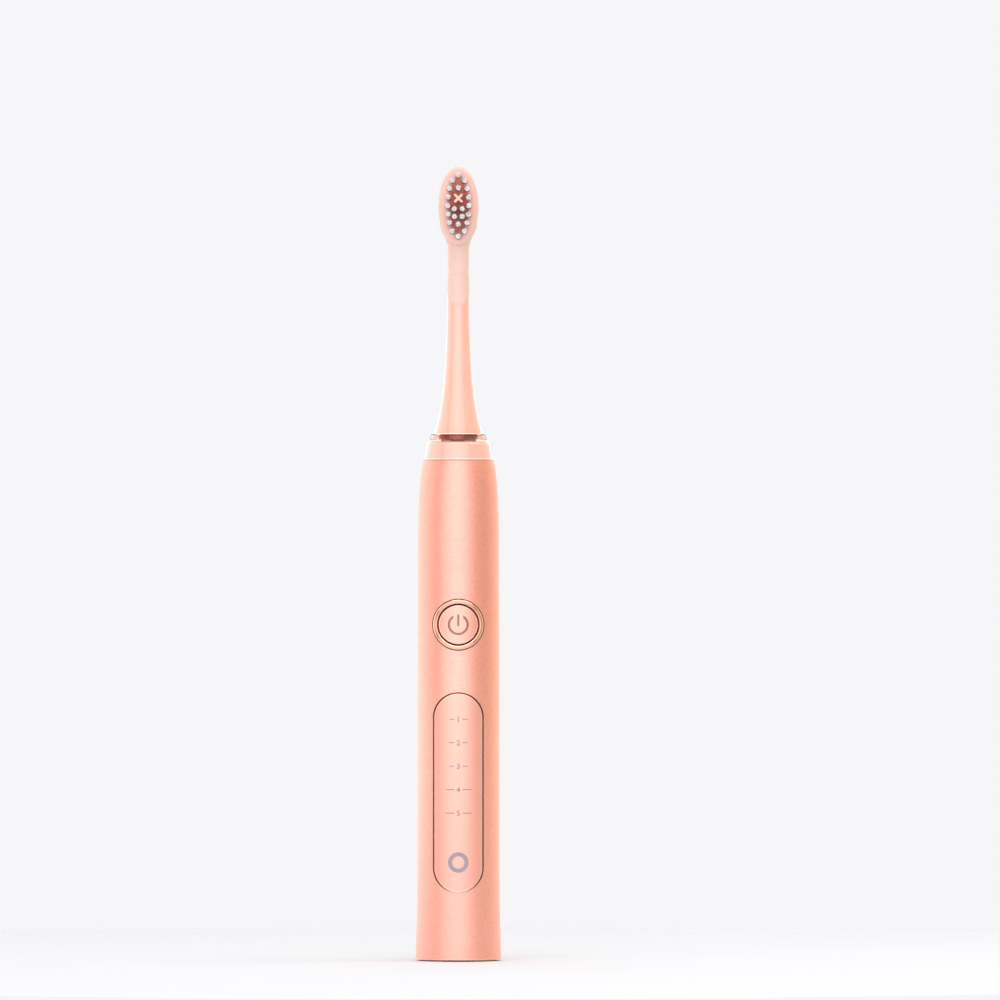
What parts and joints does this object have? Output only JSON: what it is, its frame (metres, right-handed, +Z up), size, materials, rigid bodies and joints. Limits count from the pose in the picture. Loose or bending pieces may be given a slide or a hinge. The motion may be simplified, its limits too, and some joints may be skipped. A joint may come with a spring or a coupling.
{
  "type": "electric toothbrush",
  "caption": "Slim round-bodied sonic toothbrush with a pull-off oval brush head, a ringed power button, a mode panel and a charging well in the base.",
  "frame": {"origin": "centre of the resting plane under the feet, on the handle's axis", "axes": "+Z up along the handle to the brush head, -Y towards the button and bristles, +X to the right of someone facing the button"},
  "size_m": [0.027, 0.027, 0.25],
  "materials": {
    "anodised_body": "bead-blasted anodised rose gold, satin",
    "gloss_shell": "moulded gloss peach",
    "panel_skin": "satin metallic lacquer",
    "button_skin": "satin metallic lacquer",
    "polished_ring": "polished rose-gold plating",
    "mark_ink": "flush translucent legend",
    "frosted_plastic": "frosted, slightly translucent",
    "clear_plastic": "clear moulded",
    "copper_band": "metallised copper",
    "nylon": "extruded filaments",
    "soft_elastomer": "soft moulded elastomer",
    "seal_rubber": "moulded silicone",
    "foot_rubber": "moulded silicone",
    "structural_plastic": "moulded",
    "shroud_plastic": "moulded, light-tight",
    "circuit_board": "solder-masked laminate",
    "component_body": "moulded",
    "lamp": "moulded lens",
    "steel": "ground",
    "plated_steel": "nickel plated",
    "sintered_bronze": "sintered",
    "brass": "stamped",
    "copper_wire": "enamelled winding",
    "magnet": "nickel plated sintered magnet",
    "cell_can": "drawn can",
    "shrink_film": "shrunk film",
    "foam": "closed-cell foam",
    "wire_insulation": "insulated lead"
  },
  "bodies": {
    "handle": {"body_tube": "anodised_body", "top_collar": "gloss_shell", "collar_o_ring": "seal_rubber", "shaft_seal": "seal_rubber", "button_bezel": "polished_ring", "button_boot": "seal_rubber", "tact_switch": "component_body", "mode_panel": "panel_skin", "mode_marks": "mark_ink", "battery_light_ring": "mark_ink", "light_shroud": "shroud_plastic", "indicator_lamps": "lamp", "control_board": "circuit_board", "board_components": "component_body", "board_screws": "plated_steel", "battery_cell": "cell_can", "battery_sleeve": "shrink_film", "battery_tabs": "plated_steel", "battery_pads": "foam", "chassis": "structural_plastic", "spring_anchor": "steel", "stator_core": "steel", "stator_coils": "copper_wire", "motor_can": "plated_steel", "motor_rear_cap": "structural_plastic", "motor_front_cap": "structural_plastic", "front_bearing": "sintered_bronze", "rear_bearing": "sintered_bronze", "motor_dampers": "seal_rubber", "base_cap": "gloss_shell", "base_feet": "foot_rubber", "base_o_ring": "seal_rubber", "coil_bobbin": "structural_plastic", "charging_coil": "copper_wire", "coil_leads": "wire_insulation", "motor_leads": "wire_insulation"},
    "drive": {"drive_shaft": "steel", "rotor_hub": "steel", "rotor_magnets": "magnet", "torsion_bar": "steel"},
    "brush_head": {"brush_core": "frosted_plastic", "brush_sleeve": "gloss_shell", "brush_base_ring": "clear_plastic", "brush_id_band": "copper_band", "shaft_clip": "steel", "bristle_tufts": "nylon", "tuft_anchors": "brass", "cross_tuft": "soft_elastomer"},
    "power_button": {"power_button": "button_skin", "switch_plunger": "structural_plastic"}
  },
  "joints": [
    {"name": "shaft_oscillation", "type": "hinge", "parent": "handle", "child": "drive", "pos_m": [0, 0, 0.1], "axis": [0, 0, 1], "range_deg": [-6, 6], "stiffness_Nm_per_rad": 0.05, "deforming": ["torsion_bar"]},
    {"name": "brush_head_pull", "type": "slide", "parent": "drive", "child": "brush_head", "axis": [0, 0, 1], "range_m": [0, 0.024]},
    {"name": "power_button_press", "type": "slide", "parent": "handle", "child": "power_button", "axis": [0, 1, 0], "range_m": [0, 0.0005], "stiffness_N_per_m": 1500, "deforming": ["button_boot"]}
  ]
}
